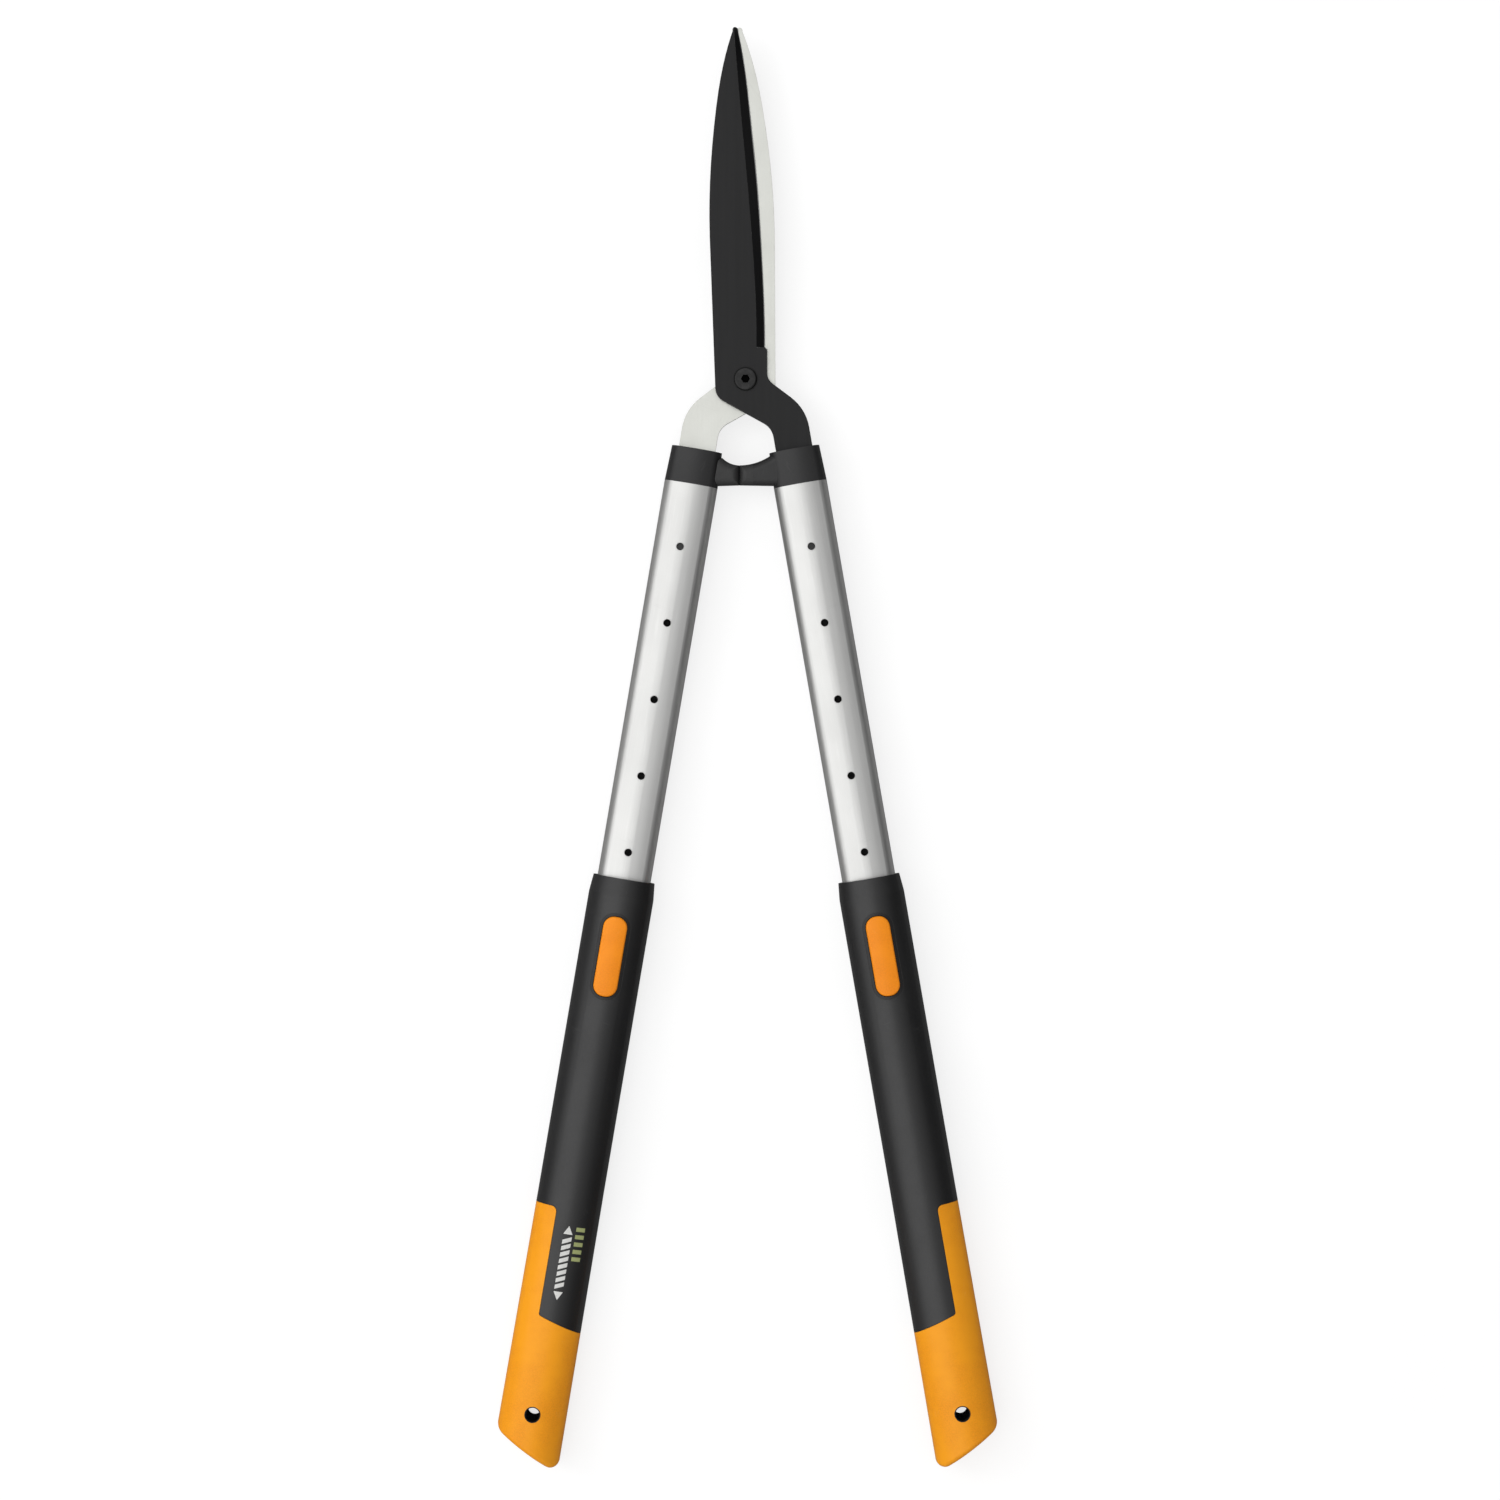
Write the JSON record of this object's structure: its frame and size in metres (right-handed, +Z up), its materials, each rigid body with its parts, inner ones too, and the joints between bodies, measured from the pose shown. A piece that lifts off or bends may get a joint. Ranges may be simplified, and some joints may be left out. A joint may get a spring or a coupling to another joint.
{
  "type": "telescopic hedge shears",
  "caption": "Two-handed garden shears with straight tapered blades on a bolted pivot, oval telescopic tubes with spring lock buttons, and padded grips with hanging holes.",
  "frame": {"origin": "centre of the footprint at ground level, with the closed and fully extended shears lying on their back", "axes": "+Y along the closed blades towards their tips, +Z up through the coated front blade, +X towards the handle that carries the coated front blade"},
  "size_m": [0.3162, 0.9114, 0.033],
  "materials": {
    "coated_steel": "black low-friction coating, satin",
    "bare_steel": "ground and lightly polished",
    "fastener_steel": "dark plated",
    "spring_steel": "bright wire",
    "tube_aluminium": "satin anodised",
    "black_plastic": "fine spark-eroded texture",
    "buffer_rubber": "matt",
    "soft_grip": "soft matt skin",
    "orange_plastic": "satin",
    "nylon": "plain"
  },
  "bodies": {
    "rear_half": {"rear_blade": "bare_steel", "left_collar": "black_plastic", "left_buffer": "buffer_rubber", "left_tube": "tube_aluminium", "left_tube_plug": "black_plastic", "left_tang_screws": "fastener_steel"},
    "front_half": {"front_blade": "coated_steel", "pivot_bolt": "fastener_steel", "pivot_washer": "fastener_steel", "pivot_nut": "fastener_steel", "right_collar": "black_plastic", "right_buffer": "buffer_rubber", "right_tube": "tube_aluminium", "right_tube_plug": "black_plastic", "right_tang_screws": "fastener_steel"},
    "left_grip": {"left_grip_core": "black_plastic", "left_mouth_bush": "nylon", "left_stop_bush": "nylon", "left_soft_grip": "soft_grip", "left_end_cap": "orange_plastic", "left_button_rivet": "fastener_steel", "left_button_spring": "spring_steel"},
    "left_button": {"left_lock_button": "orange_plastic", "left_lock_pin": "fastener_steel"},
    "right_grip": {"right_grip_core": "black_plastic", "right_mouth_bush": "nylon", "right_stop_bush": "nylon", "right_soft_grip": "soft_grip", "right_end_cap": "orange_plastic", "right_button_rivet": "fastener_steel", "right_button_spring": "spring_steel"},
    "right_button": {"right_lock_button": "orange_plastic", "right_lock_pin": "fastener_steel"}
  },
  "joints": [
    {"name": "blade_pivot", "type": "hinge", "parent": "rear_half", "child": "front_half", "pos_m": [0, 0.23271, 0.01608], "axis": [0, 0, 1], "range_deg": [0, 110]},
    {"name": "left_handle_slide", "type": "slide", "parent": "rear_half", "child": "left_grip", "axis": [0.1693, 0.9856, 0], "range_m": [0, 0.245]},
    {"name": "left_button_rock", "type": "hinge", "parent": "left_grip", "child": "left_button", "pos_m": [-0.08588, -0.13222, 0.02878], "axis": [0.9856, -0.1693, 0], "range_deg": [0, 5.5], "stiffness_Nm_per_rad": 0.5, "springref_deg": -8.59, "deforming": ["left_button_spring"]},
    {"name": "right_handle_slide", "type": "slide", "parent": "front_half", "child": "right_grip", "axis": [-0.1693, 0.9856, 0], "range_m": [0, 0.245]},
    {"name": "right_button_rock", "type": "hinge", "parent": "right_grip", "child": "right_button", "pos_m": [0.08588, -0.13222, 0.02878], "axis": [0.9856, 0.1693, 0], "range_deg": [0, 5.5], "stiffness_Nm_per_rad": 0.5, "springref_deg": -8.59, "deforming": ["right_button_spring"]}
  ]
}
